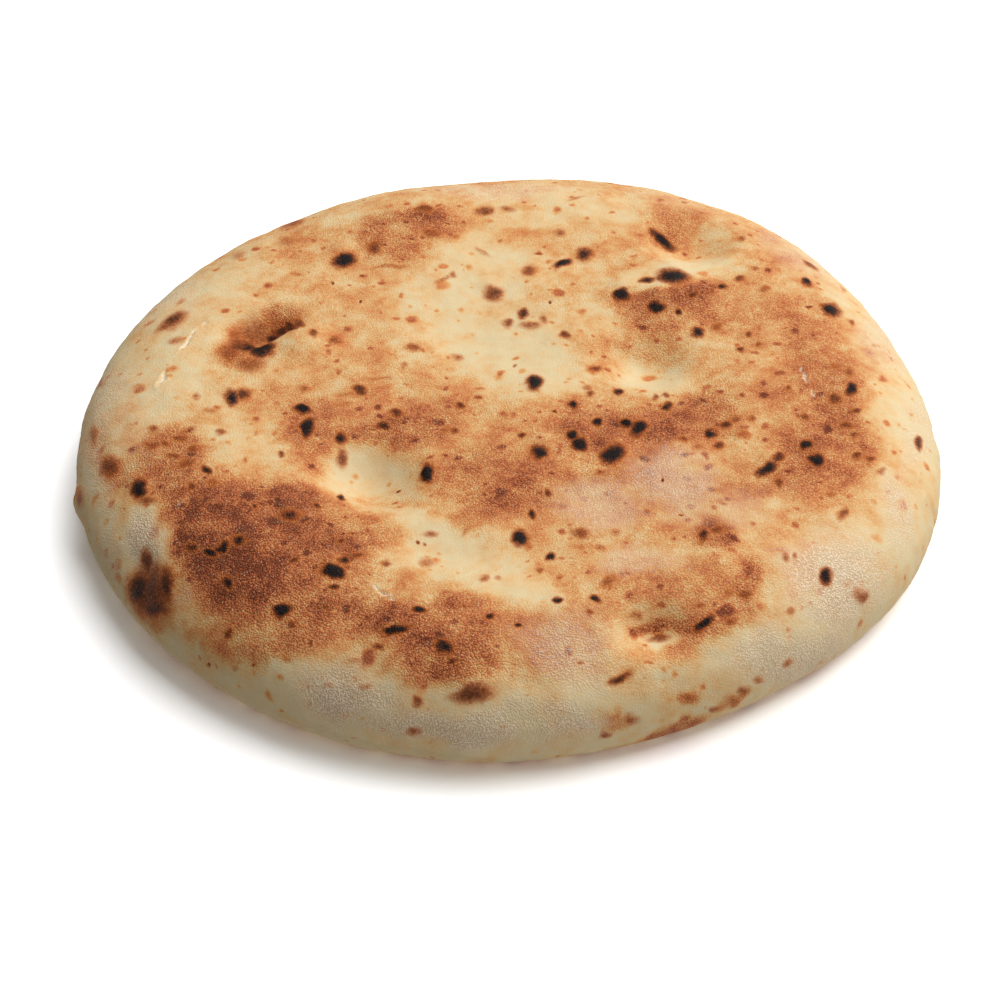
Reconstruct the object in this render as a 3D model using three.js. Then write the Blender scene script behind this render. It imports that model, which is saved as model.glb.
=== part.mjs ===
// A round focaccia, baked whole and uncut: one flat-bottomed loaf with a puffed, rounded rim.
// Its upper crust swells and sinks, with fingertip dimples, a scorched fold and dent, and blisters.
// Millimetres, +Z up. The loaf stands on z = 0, centred on the origin, its shown front towards -Y.
import * as THREE from 'three';

// Driving dimensions, in millimetres
const LOAF_RADIUS = 130; // mean radius of the outline, seen from above
const LOAF_HEIGHT = 37; // table to the crust between the dimples
const BELLY_HEIGHT = 15; // height at which the side bulges furthest out
const SHOULDER_WIDTH = 36; // how far inside the outline the crust starts to round over
const BASE_TUCK = 10; // how far the side draws in from the belly to the flat base
const CRUST_STEP = 4.0; // spacing of the lattice points on the crust and the side
const BASE_RINGS = [0.82, 0.52, 0.24]; // lattice rings of the underside, as shares of the base radius
const BASE_STEP = 16; // spacing of the points on those rings
const CROWN_REACH = 12; // how far round a blister the lattice is drawn in under its crown

// The outline isn't a true circle. Lobes swell it: each has `count` crests, the first towards `bearing`,
// in degrees from +X.
const OUTLINE_LOBES = [
  { count: 2, swell: 1.9, bearing: 38 },
  { count: 3, swell: 0.7, bearing: -51 },
  { count: 4, swell: 1.4, bearing: -25 },
  { count: 5, swell: 0.9, bearing: -18 },
];

// Relief of the crust. `at` is a place in plan, `across` the width and `rise` the height at the middle,
// negative where the crust is pressed in. A long feature is `stretch` times its width along its `bearing`.
const SWELLS = [
  { at: [-78, -66], across: 88, rise: 2.6 }, // front left
  { at: [8, -30], across: 70, rise: 1.6 }, // middle
  { at: [92, -4], across: 84, rise: 2.0 }, // right
  { at: [52, 46], across: 52, rise: 1.8 }, // back right
  { at: [-36, 92], across: 76, rise: 2.0 }, // back left
  { at: [-62, 20], across: 26, rise: 2.4 }, // lip of the fold
  { at: [-18, -106], across: 58, rise: 2.2 }, // front
  { at: [62, -84], across: 64, rise: 1.8 }, // front right
  { at: [-8, 26], across: 66, rise: -2.2 }, // pale hollow behind the middle
  { at: [-16, -76], across: 24, rise: -2.0, stretch: 2.2, bearing: -12 }, // pale trough in front of the middle
];

const DIMPLES = [
  { at: [41, 12], across: 36, rise: -6.5 }, // right of the middle
  { at: [58, 75], across: 36, rise: -6.5 }, // back right
  { at: [-41, -42], across: 36, rise: -8.0, stretch: 1.35, bearing: -38 }, // left of the middle
  { at: [39, -104], across: 21, rise: -6.5, stretch: 1.3, bearing: 8 }, // front right, by the rim
  { at: [-77, 28], across: 20, rise: -6.5, stretch: 1.6, bearing: 40 }, // scorched fold, back left
  { at: [-105, -72], across: 16, rise: -3.0, stretch: 1.5, bearing: -55 }, // scorched dent in the left shoulder
];

const BLISTERS = [
  { at: [-53, 69], across: 11, rise: 2.0 },
  { at: [51, 61], across: 11, rise: 2.2, stretch: 1.4, bearing: 0 },
  { at: [35, 50], across: 9, rise: 1.5 },
  { at: [46, 44], across: 9, rise: 1.5 },
  { at: [101, 45], across: 10, rise: 1.6 },
  { at: [-6, 51], across: 10, rise: 1.4 },
  { at: [20, -24], across: 9, rise: 1.6 },
  { at: [30, -29], across: 11, rise: 2.0 },
  { at: [36, -17], across: 10, rise: 1.8 },
  { at: [9, -28], across: 9, rise: 1.5 },
  { at: [-24, -38], across: 9, rise: 1.6, stretch: 1.3, bearing: 70 },
  { at: [-83, -2], across: 10, rise: 1.5 },
  { at: [-109, -41], across: 10, rise: 1.8 },
  { at: [-64, -58], across: 10, rise: 1.5 },
  { at: [-49, -81], across: 11, rise: 1.8 },
  { at: [-31, -104], across: 10, rise: 1.6, stretch: 1.3, bearing: 0 },
  { at: [-10, -121], across: 10, rise: 1.5, stretch: 1.5, bearing: 0 },
  { at: [75, -35], across: 10, rise: 1.5 },
  { at: [90, -32], across: 9, rise: 1.5 },
  { at: [-128, -31], across: 12, rise: 2.6, stretch: 1.4, bearing: 100 }, // on the left belly, in the outline
  { at: [-126, 32], across: 10, rise: 1.8 }, // on the left belly, further back
];

const CRUST_COLOUR = 0xd8a868;
const CRUST_ROUGHNESS = 0.75;

// Half section, as radius and height: the top from its middle out, the shoulder, then the side down to the base
const TOP_RADIUS = LOAF_RADIUS - SHOULDER_WIDTH;
const BASE_RADIUS = LOAF_RADIUS - BASE_TUCK;
const SHOULDER_DROP = LOAF_HEIGHT - BELLY_HEIGHT;
const section = new THREE.Path();
section.moveTo(0, LOAF_HEIGHT);
section.lineTo(TOP_RADIUS, LOAF_HEIGHT);
section.absellipse(TOP_RADIUS, BELLY_HEIGHT, SHOULDER_WIDTH, SHOULDER_DROP, Math.PI / 2, 0, true);
section.absellipse(BASE_RADIUS, BELLY_HEIGHT, BASE_TUCK, BELLY_HEIGHT, 0, -Math.PI / 2, true);

// Outline radius towards an angle in radians, as a share of the mean radius.
function outlineShare(angle) {
  let swell = 0;
  for (const lobe of OUTLINE_LOBES) {
    swell += lobe.swell * Math.cos(lobe.count * (angle - THREE.MathUtils.degToRad(lobe.bearing)));
  }
  return 1 + swell / LOAF_RADIUS;
}

// Place on the smooth upper crust above a point in plan. A point outside the outline is drawn in to the belly.
function onCrust([x, y]) {
  const share = outlineShare(Math.atan2(y, x));
  const radius = Math.min(Math.hypot(x, y) / share, LOAF_RADIUS);
  const over = Math.max(0, radius - TOP_RADIUS) / SHOULDER_WIDTH;
  const height = BELLY_HEIGHT + SHOULDER_DROP * Math.sqrt(1 - over * over);
  const pull = (radius * share) / Math.hypot(x, y);
  return new THREE.Vector3(x * pull, y * pull, height);
}

// Round-topped falloff from 1 at the middle to 0 at `reach` 1 and beyond.
function falloff(reach) {
  return reach < 1 ? (1 - reach * reach) ** 2 : 0;
}

// Height of one relief feature at a point of the smooth crust: a bump, or a pit where `rise` is negative.
function featureRise(feature, centre, point) {
  const away = point.clone().sub(centre);
  const stretch = feature.stretch ?? 1;
  if (stretch !== 1) {
    const bearing = THREE.MathUtils.degToRad(feature.bearing);
    const along = new THREE.Vector3(Math.cos(bearing), Math.sin(bearing), 0);
    away.addScaledVector(along, away.dot(along) * (1 / stretch - 1));
  }
  return feature.rise * falloff((2 * away.length()) / feature.across);
}

// Each feature with its centre on the smooth crust.
function placed(features) {
  return features.map((feature) => ({ feature, centre: onCrust(feature.at) }));
}

// One ring of lattice points round the loaf, each with the way the crust faces there.
function crustRing(radius, height, tangent, count, turn) {
  return Array.from({ length: count }, (_, i) => {
    const angle = turn + (2 * Math.PI * i) / count;
    const reach = radius * outlineShare(angle);
    return {
      angle,
      point: new THREE.Vector3(reach * Math.cos(angle), reach * Math.sin(angle), height),
      facing: new THREE.Vector3(-tangent.y * Math.cos(angle), -tangent.y * Math.sin(angle), tangent.x),
    };
  });
}

// Rings evenly spaced along the half section. Counts that are multiples of six keep the triangles near
// equilateral, and a ring with as many points as the one before is turned by half a step.
function crustRings() {
  const steps = Math.round(section.getLength() / CRUST_STEP);
  const rings = [];
  let turn = 0;
  for (let i = 0; i <= steps; i += 1) {
    const { x: radius, y: height } = section.getPoint(i / steps);
    const sixths = Math.round((2 * Math.PI * radius) / (6 * CRUST_STEP));
    const count = i === 0 ? 1 : 6 * Math.max(1, sixths);
    if (i > 0 && count === rings[i - 1].length) turn += Math.PI / count;
    rings.push(crustRing(radius, height, section.getTangent(i / steps), count, turn));
  }
  return rings;
}

// Rings of the flat underside, from the base's edge in to its middle.
function baseRings() {
  const down = new THREE.Vector2(-1, 0);
  const rings = BASE_RINGS.map((share) => {
    const radius = BASE_RADIUS * share;
    const count = 6 * Math.round((2 * Math.PI * radius) / (6 * BASE_STEP));
    return crustRing(radius, 0, down, count, 0);
  });
  return [...rings, crustRing(0, 0, down, 1, 0)];
}

// Draws the lattice along the crust until a point of it lies under each blister's crown, so that the crown
// keeps its height. The neighbours follow, less with distance.
function centreOnBlisters(rings) {
  const points = rings.flat().map(({ point }) => point);
  for (const { centre } of placed(BLISTERS)) {
    const distances = points.map((point) => point.distanceTo(centre));
    const nearest = points[distances.indexOf(Math.min(...distances))];
    const shift = centre.clone().sub(nearest);
    const from = nearest.clone();
    points.forEach((point) => point.addScaledVector(shift, falloff(point.distanceTo(from) / CROWN_REACH)));
  }
}

// Raises and presses the lattice points along the way the crust faces. The base's edge stays flat.
function raiseRelief(rings) {
  const relief = placed([...SWELLS, ...DIMPLES, ...BLISTERS]);
  for (const { point, facing } of rings.slice(0, -1).flat()) {
    const rises = relief.map(({ feature, centre }) => featureRise(feature, centre, point));
    point.addScaledVector(facing, rises.reduce((sum, rise) => sum + rise, 0));
  }
}

// Triangles between two rings, walking round both and stepping on whichever is behind.
function stitch(inner, outer, triangles) {
  const angleOf = (ring, i) => ring[i % ring.length].angle + 2 * Math.PI * Math.floor(i / ring.length);
  let i = 0;
  let j = 0;
  const innerSteps = inner.length === 1 ? 0 : inner.length;
  const outerSteps = outer.length === 1 ? 0 : outer.length;
  while (i < innerSteps || j < outerSteps) {
    const a = inner[i % inner.length].index;
    const b = outer[j % outer.length].index;
    const outerBehind = angleOf(outer, j + 1) <= angleOf(inner, i + 1);
    if (j < outerSteps && (i === innerSteps || outerBehind)) {
      triangles.push(a, b, outer[(j + 1) % outer.length].index);
      j += 1;
    } else {
      triangles.push(a, b, inner[(i + 1) % inner.length].index);
      i += 1;
    }
  }
}

function loafGeometry() {
  const crust = crustRings();
  centreOnBlisters(crust);
  raiseRelief(crust);
  const rings = [...crust, ...baseRings()];
  rings.flat().forEach((lattice, index) => { lattice.index = index; });
  const triangles = [];
  rings.slice(1).forEach((outer, i) => stitch(rings[i], outer, triangles));
  const geometry = new THREE.BufferGeometry();
  geometry.setFromPoints(rings.flat().map(({ point }) => point));
  geometry.setIndex(triangles);
  geometry.computeBoundingBox();
  const middle = geometry.boundingBox.getCenter(new THREE.Vector3());
  geometry.translate(-middle.x, -middle.y, 0);
  geometry.computeVertexNormals();
  return geometry;
}

const crust = new THREE.MeshStandardMaterial({
  color: CRUST_COLOUR,
  roughness: CRUST_ROUGHNESS,
  metalness: 0,
});
const loaf = new THREE.Mesh(loafGeometry(), crust);
loaf.name = 'focaccia';

const bread = new THREE.Group();
bread.add(loaf);

export default bread;
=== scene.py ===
"""Looks of a round, stone-baked focaccia, built around its CAD solid.

The crust is a copy of the solid, subdivided, with finer relief worked into it: scorched blisters, torn
slits and a lumpy skin. Stains seen in the photograph are laid on it and kept as vertex attributes, and one
procedural finish turns them into pale dough, toasted crust, scorch, flour and torn crumb. Some of the
stains are painted light: painted shade in two hollows, a painted shadow in the pit at the front right,
painted light on lit lips and on the right rim, and painted sheen along the back rim and the edges.
"""
import logging
import math
from dataclasses import dataclass
from enum import Enum

import bpy
import numpy as np
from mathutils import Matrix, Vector, noise


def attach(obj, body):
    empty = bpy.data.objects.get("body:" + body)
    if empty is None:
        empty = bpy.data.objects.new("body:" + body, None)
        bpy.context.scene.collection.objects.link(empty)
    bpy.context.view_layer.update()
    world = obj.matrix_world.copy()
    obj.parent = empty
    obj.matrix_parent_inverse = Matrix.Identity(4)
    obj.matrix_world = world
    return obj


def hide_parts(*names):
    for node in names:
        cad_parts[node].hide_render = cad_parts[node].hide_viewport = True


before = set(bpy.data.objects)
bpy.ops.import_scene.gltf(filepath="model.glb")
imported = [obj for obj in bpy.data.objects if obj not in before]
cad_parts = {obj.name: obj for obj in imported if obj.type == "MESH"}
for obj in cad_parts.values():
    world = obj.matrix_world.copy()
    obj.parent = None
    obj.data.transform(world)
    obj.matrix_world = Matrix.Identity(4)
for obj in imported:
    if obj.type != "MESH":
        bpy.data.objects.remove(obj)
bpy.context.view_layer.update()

LOG = logging.getLogger("focaccia")
MM = 0.001  # metres in a millimetre
NOISE_SEED = 3  # keeps the noise that makes edges uneven the same in each run

# Short names of the types that the finishes are made from
Tree = bpy.types.NodeTree
Socket = bpy.types.NodeSocket


class Stain(str, Enum):
    """Vertex attributes that the crust's finish reads, each from 0 to 1. The toast stain also holds painted
    shade, painted light and painted sheen, the scorch stain a painted shadow, and the flour stain painted
    sheen.
    """

    TOAST_AND_PAINTED_LIGHT_AND_SHADE = "toast"
    SCORCH_AND_PAINTED_SHADE = "scorch"
    FLOUR_AND_PAINTED_SHEEN = "flour"
    CRUMB = "crumb"
    UNDERSIDE = "underside"


@dataclass(frozen=True)
class Mark:
    """An ellipse seen in the photograph, to be laid on the crust.

    Args:
        x: Pixel column of its middle, in the photograph's 1000 by 1000 frame.
        y: Pixel row of its middle.
        wide: Half its width, in pixels.
        tall: Half its height, in pixels.
        strength: How strong the stain or relief is, up to 1.
        turn: Turn of the ellipse in the photograph, in degrees anticlockwise.
    """

    x: float
    y: float
    wide: float
    tall: float
    strength: float = 1.0
    turn: float = 0.0


def marks(*rows: tuple[float, ...]) -> tuple[Mark, ...]:
    """Returns one mark for each row of a mark's values."""
    return tuple(Mark(*row) for row in rows)


# Blisters that the oven scorched black or brown, roughly from the back of the loaf to its front, and one
# painted shadow
SCORCHES_AND_PAINTED_SHADE = marks(
    (345, 260, 13, 8, 1.0, 8), (375, 248, 9, 7, 0.6), (483, 210, 11, 5, 0.6), (424, 209, 9, 4, 0.55),
    (433, 234, 11, 6, 0.5), (508, 209, 10, 4, 0.42), (560, 233, 7, 5, 0.5), (585, 255, 9, 8, 0.78),
    (562, 264, 10, 5, 0.92, 20), (529, 271, 9, 6, 0.6), (493, 293, 11, 9, 0.66), (524, 314, 6, 6, 0.75),
    (507, 324, 6, 5, 0.6), (531, 326, 11, 5, 0.5), (544, 320, 5, 5, 0.5), (564, 335, 6, 4, 0.75),
    (622, 295, 9, 7, 1.0), (657, 307, 9, 7, 0.95), (697, 332, 9, 6, 0.88), (672, 277, 17, 8, 1.0, -3),
    (647, 280, 9, 4, 0.8, 15), (663, 241, 15, 6, 0.95, -38), (653, 233, 7, 5, 0.75, -38),
    (678, 312, 4, 4, 0.8), (693, 295, 5, 4, 0.7), (711, 291, 4, 4, 0.5), (724, 286, 6, 4, 0.85),
    (741, 279, 7, 4, 0.6), (754, 269, 7, 3, 0.45), (741, 238, 7, 4, 0.5), (764, 289, 6, 4, 0.45),
    (805, 282, 6, 4, 0.85, -35), (809, 265, 8, 3, 0.6, -38), (831, 310, 11, 6, 1.0, -22),
    (852, 322, 4, 3, 0.55), (717, 327, 7, 5, 0.45), (748, 333, 5, 4, 0.65), (742, 350, 5, 4, 0.7),
    (759, 345, 5, 4, 0.5), (850, 389, 7, 7, 0.95), (836, 399, 7, 6, 0.64), (849, 372, 7, 6, 0.5),
    (836, 366, 6, 4, 0.4), (857, 410, 5, 4, 0.66), (788, 388, 5, 4, 0.55), (804, 416, 6, 5, 0.55),
    (846, 425, 7, 5, 0.6), (854, 436, 6, 4, 0.6), (858, 455, 7, 5, 0.62), (871, 458, 6, 4, 0.58),
    (881, 471, 6, 4, 0.45), (830, 494, 6, 4, 0.42), (919, 442, 4, 8, 0.7), (533, 383, 9, 8, 1.0),
    (574, 405, 6, 5, 0.85), (597, 368, 7, 4, 0.6), (586, 388, 5, 4, 0.5), (590, 394, 5, 4, 0.55),
    (619, 391, 5, 3, 0.85), (598, 423, 6, 5, 0.95), (624, 423, 8, 5, 1.0, -30), (638, 429, 9, 9, 1.0),
    (571, 435, 6, 5, 0.92), (579, 444, 9, 8, 1.0), (613, 454, 13, 11, 1.0, 20), (540, 452, 10, 9, 0.88),
    (602, 473, 5, 3, 0.85), (522, 435, 5, 3, 0.75), (460, 405, 6, 4, 0.7), (454, 431, 6, 4, 0.6),
    (443, 431, 6, 4, 0.4), (412, 348, 9, 5, 0.5), (457, 358, 6, 4, 0.45), (406, 365, 5, 4, 0.42),
    (399, 414, 8, 6, 0.75), (384, 426, 8, 5, 0.75), (360, 390, 7, 5, 0.75), (428, 473, 7, 11, 1.0, -25),
    (668, 407, 6, 5, 0.85), (656, 397, 4, 3, 0.5), (666, 396, 3, 3, 0.7), (712, 434, 7, 6, 0.95),
    (725, 425, 7, 6, 0.7), (751, 420, 5, 4, 0.5), (720, 445, 6, 3, 0.65), (682, 440, 5, 4, 0.6),
    (737, 419, 9, 6, 0.5), (742, 433, 8, 5, 0.36), (698, 446, 8, 5, 0.4), (809, 445, 8, 6, 0.95),
    (817, 460, 9, 7, 1.0), (766, 469, 12, 7, 0.86, 35), (777, 457, 7, 5, 0.7, 40), (779, 483, 6, 6, 0.6),
    (842, 513, 5, 9, 0.55, -20), (704, 536, 6, 9, 0.75, -25), (717, 530, 7, 6, 0.55), (784, 557, 5, 5, 0.5),
    (795, 556, 4, 4, 0.4), (827, 576, 7, 7, 1.0), (862, 595, 8, 7, 0.5), (811, 604, 4, 4, 0.35),
    (790, 611, 5, 5, 0.45), (705, 624, 11, 6, 1.0, 35), (731, 620, 7, 5, 0.6), (744, 593, 9, 6, 0.55),
    (727, 593, 7, 5, 0.45), (699, 604, 6, 4, 0.5), (635, 614, 8, 6, 0.45), (620, 677, 15, 6, 0.78, 20),
    (788, 663, 6, 4, 0.45), (745, 689, 8, 5, 0.5, 20), (733, 702, 8, 6, 0.4), (687, 700, 8, 7, 0.38),
    (631, 721, 8, 7, 0.5), (607, 734, 8, 4, 0.5), (581, 665, 4, 3, 0.45), (521, 538, 10, 8, 1.0, 15),
    (549, 555, 7, 4, 0.9, 25), (530, 514, 5, 5, 0.85), (549, 494, 4, 4, 0.7), (431, 533, 11, 4, 0.45),
    (466, 533, 5, 4, 0.33), (581, 534, 11, 5, 0.55, -15), (616, 532, 6, 5, 0.4), (580, 548, 5, 3, 0.33),
    (599, 548, 6, 4, 0.42), (540, 569, 5, 3, 0.5), (482, 578, 7, 4, 0.5), (498, 578, 5, 3, 0.4),
    (427, 562, 10, 6, 0.4), (386, 563, 7, 4, 0.6), (359, 555, 8, 4, 0.6), (609, 582, 11, 6, 0.5, 25),
    (597, 599, 6, 4, 0.85), (556, 601, 6, 4, 0.9), (587, 612, 5, 4, 0.6), (420, 610, 6, 4, 0.9),
    (491, 616, 6, 4, 0.85), (519, 626, 5, 3, 0.85), (466, 606, 5, 3, 0.5), (397, 629, 15, 6, 1.0, 10),
    (443, 647, 10, 7, 0.82), (452, 660, 6, 5, 0.7), (379, 649, 7, 4, 0.6), (472, 694, 24, 10, 0.66, 10),
    (418, 702, 8, 6, 0.55), (414, 733, 9, 4, 0.45), (334, 572, 13, 8, 1.0, -10), (343, 560, 7, 5, 0.85),
    (333, 588, 6, 4, 0.75), (325, 606, 5, 4, 0.6), (340, 542, 5, 3, 0.65), (353, 535, 7, 3, 0.5),
    (283, 611, 10, 7, 1.0), (294, 624, 6, 4, 0.6), (297, 560, 6, 3, 0.7), (290, 516, 12, 7, 0.75),
    (316, 507, 5, 3, 0.7), (254, 506, 4, 3, 0.7), (340, 497, 5, 4, 0.95), (342, 437, 7, 7, 0.85),
    (343, 459, 6, 11, 0.6), (307, 428, 7, 11, 1.0), (303, 410, 10, 5, 0.95), (232, 398, 9, 8, 0.85),
    (244, 394, 10, 7, 0.68), (281, 455, 4, 4, 0.65), (245, 459, 4, 4, 0.4), (259, 433, 4, 4, 0.33),
    (221, 433, 6, 4, 0.55), (154, 429, 6, 5, 0.5), (150, 446, 8, 5, 0.5), (166, 444, 8, 4, 0.52),
    (181, 438, 8, 4, 0.6), (190, 430, 7, 3.5, 0.58, 25), (172, 457, 9, 5, 0.5), (195, 449, 8, 4, 0.5),
    (210, 410, 9, 3, 0.36), (186, 463, 9, 5, 0.5), (198, 397, 6, 4, 0.4), (206, 471, 5, 6, 0.8),
    (192, 487, 5, 5, 0.75), (212, 483, 8, 6, 0.45), (193, 547, 8, 7, 0.7), (211, 552, 8, 5, 0.95),
    (223, 547, 9, 5, 0.92, 15), (239, 542, 7, 5, 0.8), (228, 583, 7, 6, 0.85), (227, 632, 6, 5, 0.66),
    (237, 668, 4, 4, 0.33), (287, 659, 6, 4, 0.33), (139, 489, 9, 10, 1.0, -20), (147, 501, 12, 6, 0.5),
    (110, 467, 10, 13, 0.64), (94, 434, 4, 13, 0.45), (80, 498, 4, 12, 0.5), (101, 383, 4, 6, 0.4),
    (172, 321, 17, 6.5, 0.68, 32), (175, 340, 6, 5, 0.42), (288, 241, 14, 6, 0.38, 15),
    (293, 224, 14, 4, 0.5, 18), (239, 256, 8, 5, 0.35, 15), (297, 274, 8, 4, 0.35), (314, 333, 5, 4, 0.65),
    (336, 340, 8, 6, 0.55), (305, 388, 9, 5, 0.45), (451, 274, 5, 4, 0.45), (577, 199, 9, 2, 0.4, 15),
    # The row at 658, 640 is a painted shadow: the dark line under the overhanging back wall of the pit at the
    # front right
    (456, 235, 4, 3, 0.4), (658, 640, 14, 5, 0.55, 5), (715, 708, 6, 4, 0.45), (760, 680, 6, 4, 0.45),
    (391, 267, 26, 2.5, 0.4, 4), (442, 280, 10, 3, 0.4, 32), (484, 252, 11, 3, 0.34, -30),
    (380, 378, 18, 2.5, 0.34), (350, 395, 14, 2.5, 0.34), (345, 404, 10, 2.5, 0.34), (366, 684, 9, 4, 0.3),
    (330, 686, 7, 4, 0.3), (355, 661, 7, 4, 0.3),
)

# The burnt fold at the back left and the burnt dent in the left shoulder, as overlapping dark patches
BURNS = marks(
    (237, 347, 9, 6, 0.72), (247, 349, 9, 6, 0.95), (258, 350, 9, 6, 1.0), (266, 346, 8, 6, 1.0),
    (273, 339, 8, 6, 0.92), (281, 333, 8, 5, 0.86), (290, 328, 8, 4.5, 0.8), (299, 324, 7, 4, 0.7),
    (256, 338, 24, 13, 0.5), (280, 326, 24, 7, 0.36, 10), (231, 351, 12, 10, 0.5), (250, 364, 16, 8, 0.5),
    (150, 592, 20, 27, 0.74), (147, 562, 7, 13, 0.7), (166, 584, 7, 18, 0.86), (139, 589, 10, 17, 0.9),
    (155, 609, 13, 10, 0.82),
)

# Specks of burnt flour
SPECKS = marks(
    (333, 283, 1.5, 1.2), (361, 301, 1.5, 1.2), (550, 303, 1.5, 1.5), (514, 365, 1.2, 1.2),
    (555, 412, 1.5, 1.2), (398, 492, 1.2, 1.2), (418, 541, 1.2, 1.2), (425, 545, 1.2, 1.2),
    (586, 713, 1.4, 1.4), (208, 665, 1.2, 1.2), (255, 665, 1.2, 1.2), (681, 513, 1.5, 1.2),
    (706, 561, 1.4, 1.4), (663, 480, 1.2, 1.2),
)

# Where the crust is browned, with a clear edge, and one patch that is partly painted shade
BROWNED_AND_PAINTED_SHADE = marks(
    (172, 452, 36, 28, 0.54), (196, 498, 40, 36, 0.46), (192, 538, 20, 36, 0.6), (250, 513, 62, 34, 0.4),
    (322, 520, 52, 34, 0.4, -20), (292, 494, 46, 14, 0.34, -8), (232, 572, 48, 38, 0.6, -25),
    (295, 602, 58, 28, 0.52), (330, 560, 52, 40, 0.34), (348, 614, 46, 24, 0.36), (262, 545, 60, 40, 0.26),
    (258, 543, 32, 18, 0.3), (212, 590, 26, 18, 0.25), (425, 660, 34, 28, 0.48), (466, 660, 34, 28, 0.54),
    (450, 622, 62, 24, 0.4), (385, 618, 32, 16, 0.3), (492, 480, 56, 42, 0.34), (405, 430, 56, 17, 0.48),
    (445, 410, 42, 14, 0.24), (590, 430, 42, 26, 0.34), (645, 425, 50, 24, 0.36), (705, 412, 40, 32, 0.36),
    (835, 458, 62, 52, 0.32), (795, 465, 26, 30, 0.24), (755, 480, 34, 18, 0.18), (815, 345, 40, 54, 0.3),
    (845, 398, 28, 32, 0.34), (300, 636, 42, 14, 0.2), (405, 216, 40, 9, 0.4), (674, 305, 54, 24, 0.5),
    (664, 294, 32, 13, 0.4), (735, 310, 36, 26, 0.22), (700, 592, 72, 40, 0.2), (684, 626, 46, 13, 0.34, 8),
    # The row at 655, 634 is partly browned crust and partly painted shade on the back wall of the pit at the
    # front right
    (748, 585, 14, 32, 0.38), (655, 634, 24, 8, 0.4), (715, 533, 22, 16, 0.5), (400, 232, 58, 26, 0.3),
    (440, 222, 26, 14, 0.2), (372, 240, 14, 14, 0.2), (672, 215, 34, 13, 0.28), (665, 240, 18, 12, 0.4),
    (237, 350, 26, 16, 0.4), (280, 320, 28, 14, 0.4), (535, 308, 18, 20, 0.3), (312, 435, 34, 40, 0.3),
    (678, 729, 40, 6, 0.6, 20), (735, 698, 22, 6, 0.4, 28), (612, 722, 22, 12, 0.4, -8),
    (466, 598, 30, 9, 0.4), (690, 700, 9, 9, 0.4),
)

# Where the crust is toasted, fading out softly, and one patch that is partly painted shade
TOASTED_AND_PAINTED_SHADE = marks(
    (600, 455, 90, 36, 0.16), (640, 520, 110, 30, 0.14), (665, 486, 84, 24, 0.2), (265, 652, 44, 18, 0.34),
    # The row at 645, 352 is partly toasted crust and partly painted shade on the far wall of the dimple right
    # of the middle
    (125, 420, 30, 50, 0.14), (126, 466, 26, 18, 0.34), (645, 352, 30, 12, 0.26), (380, 400, 70, 40, 0.12),
    (560, 420, 60, 30, 0.14), (750, 370, 50, 40, 0.14), (300, 420, 40, 40, 0.12), (520, 640, 40, 40, 0.18),
    (480, 512, 50, 20, 0.25, 20), (590, 474, 60, 18, 0.25, 15), (350, 535, 40, 20, 0.2),
    (560, 625, 56, 36, 0.22), (690, 668, 56, 22, 0.06), (700, 690, 60, 24, 0.14), (620, 672, 24, 18, 0.14),
    (610, 600, 30, 30, 0.12), (290, 255, 40, 18, 0.1), (100, 450, 20, 30, 0.3), (150, 595, 30, 40, 0.4),
    (225, 640, 54, 36, 0.32), (600, 380, 40, 40, 0.12), (690, 395, 40, 20, 0.2),
)

# Where the dough stayed pale, and where painted light and painted sheen lighten the crust
PALE_AND_PAINTED_LIGHT = marks(
    (480, 268, 60, 38, 0.85), (430, 310, 50, 40, 0.5), (510, 348, 68, 42, 0.85, -25),
    # The rows at 652, 385 and 680, 264 are painted light on the lit near lips of two dimples
    (590, 318, 26, 16, 0.5), (560, 382, 44, 14, 0.5), (652, 385, 42, 10, 0.95), (680, 264, 46, 11, 0.95),
    (714, 240, 20, 10, 0.25), (345, 487, 24, 14, 0.8), (374, 478, 46, 25, 0.97, -20),
    (432, 530, 60, 15, 0.88, -28), (144, 535, 24, 42, 0.6), (505, 572, 52, 22, 0.8, -18),
    # The row at 658, 643 is painted light on the lit lower lip of the pit at the front right
    (440, 560, 50, 22, 0.65, -10), (245, 440, 40, 26, 0.5), (658, 643, 22, 7, 0.85),
    # The row at 910, 420 is painted light on the lit right rim
    (180, 365, 46, 50, 0.55), (120, 380, 40, 60, 0.6), (910, 420, 26, 90, 0.8),
    # The row at 850, 300 is painted sheen along the back right rim
    (850, 300, 24, 50, 0.45, 40), (880, 570, 46, 60, 0.6), (570, 270, 30, 20, 0.3), (770, 640, 40, 16, 0.3),
    # The rows at 550, 205, 200, 285 and 620, 215 are painted sheen along the back rim
    (550, 205, 80, 22, 0.55), (200, 285, 80, 34, 0.5, 25), (770, 365, 24, 20, 0.3), (620, 215, 34, 20, 0.4),
)

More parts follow.
